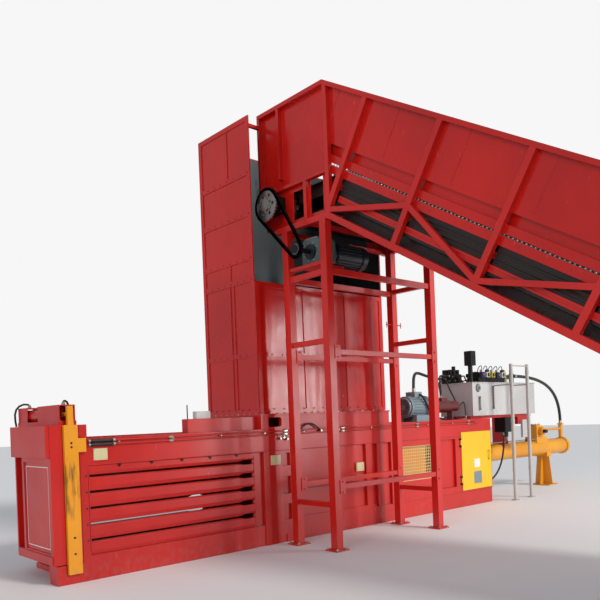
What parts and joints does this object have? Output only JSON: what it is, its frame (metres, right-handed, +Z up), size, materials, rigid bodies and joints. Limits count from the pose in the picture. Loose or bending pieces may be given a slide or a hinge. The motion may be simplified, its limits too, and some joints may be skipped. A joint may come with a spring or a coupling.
{
  "type": "recycling baler",
  "caption": "Horizontal closed-chamber baler for waste, with a feed hopper, an inclined apron conveyor, a hinged bale door, a ram with its main cylinder, and an oil tank with pumps.",
  "frame": {"origin": "on the floor, at the open end of the bale chamber, on the baler's centre line", "axes": "+X from the bale door to the main cylinder, +Z up, and the conveyor lies towards -Y"},
  "size_m": [11.483, 9.301, 5.463],
  "materials": {
    "red_paint": "satin red paint, dusty on its upper faces",
    "wear_steel": "bare wear plate, rubbed bright",
    "dark_steel": "dark oiled steel",
    "orange_paint": "satin yellow-orange paint, worn where it slides",
    "yellow_paint": "satin yellow paint",
    "chromed_rod": "hard chromed and polished",
    "bright_steel": "machined steel",
    "grey_paint": "blue-grey machine enamel",
    "white_paint": "satin white paint",
    "maroon_paint": "dark red enamel",
    "hose_rubber": "smooth black hose cover"
  },
  "bodies": {
    "frame": {"base_frame": "red_paint", "chamber_floor": "wear_steel", "end_flange": "red_paint", "near_slats": "red_paint", "far_slats": "red_paint", "top_beams": "red_paint", "chamber_roof": "red_paint", "near_press_wall": "red_paint", "far_press_wall": "red_paint", "near_rear_wall": "red_paint", "far_rear_wall": "red_paint", "rear_deck": "red_paint", "rear_bulkhead": "red_paint", "ram_guides": "wear_steel", "mesh_guard": "dark_steel", "access_hinge": "dark_steel", "shear_blade": "wear_steel", "hopper_collar": "red_paint", "hopper_left_panel": "red_paint", "hopper_right_panel": "red_paint", "hopper_far_panel": "red_paint", "hopper_near_panel": "red_paint", "door_hinge": "dark_steel", "main_cylinder": "orange_paint", "cylinder_stand": "orange_paint", "prefill_valve": "orange_paint", "left_side": "red_paint", "right_side": "red_paint", "truss_chords": "red_paint", "truss_posts": "red_paint", "truss_diagonals": "red_paint", "truss_ties": "red_paint", "apron_rails": "dark_steel", "apron": "dark_steel", "shaft_bearings": "dark_steel", "drive_chain": "dark_steel", "gearmotor": "grey_paint", "support_legs": "red_paint", "support_ties": "red_paint", "leg_clamps": "red_paint", "oil_tank": "white_paint", "tank_frame": "red_paint", "pump_motor": "grey_paint", "hydraulic_pump": "maroon_paint", "valve_block": "dark_steel", "oil_hoses": "hose_rubber", "roof_pipes": "dark_steel", "conduit_pipes": "white_paint"},
    "bale_door": {"bale_door": "red_paint", "lock_cylinder": "red_paint"},
    "lock": {"lock_bar": "orange_paint"},
    "ram": {"ram": "orange_paint", "ram_blade": "wear_steel", "ram_tail_plate": "wear_steel", "piston_rod": "chromed_rod"},
    "head_shaft": {"head_shaft": "bright_steel", "drive_sprocket": "bright_steel"},
    "motor_shaft": {"motor_sprocket": "bright_steel"},
    "tail_shaft": {"tail_shaft": "bright_steel"},
    "access_door": {"access_door": "yellow_paint"}
  },
  "joints": [
    {"name": "bale_door_hinge", "type": "hinge", "parent": "frame", "child": "bale_door", "pos_m": [-0.093, 0.68, 0.89], "axis": [0, 0, -1], "range_deg": [0, 100]},
    {"name": "lock_slide", "type": "slide", "parent": "bale_door", "child": "lock", "axis": [0, 1, 0], "range_m": [0, 0.03]},
    {"name": "ram_slide", "type": "slide", "parent": "frame", "child": "ram", "axis": [-1, 0, 0], "range_m": [0, 2.54]},
    {"name": "head_shaft_turn", "type": "hinge", "parent": "frame", "child": "head_shaft", "pos_m": [2.488, -0.688, 4.214], "axis": [1, 0, 0], "continuous": true},
    {"name": "motor_shaft_turn", "type": "hinge", "parent": "frame", "child": "motor_shaft", "pos_m": [2.488, -1.204, 3.56064], "axis": [1, 0, 0], "continuous": true},
    {"name": "tail_shaft_turn", "type": "hinge", "parent": "frame", "child": "tail_shaft", "pos_m": [3.65, -7.8221, 0.50325], "axis": [1, 0, 0], "continuous": true},
    {"name": "access_door_hinge", "type": "hinge", "parent": "frame", "child": "access_door", "pos_m": [6.498, -0.612, 0.75], "axis": [0, 0, -1], "range_deg": [0, 110]}
  ],
  "couplings": [
    {"joint": "motor_shaft_turn", "follows": "head_shaft_turn", "ratio": 2},
    {"joint": "tail_shaft_turn", "follows": "head_shaft_turn", "ratio": 1}
  ]
}
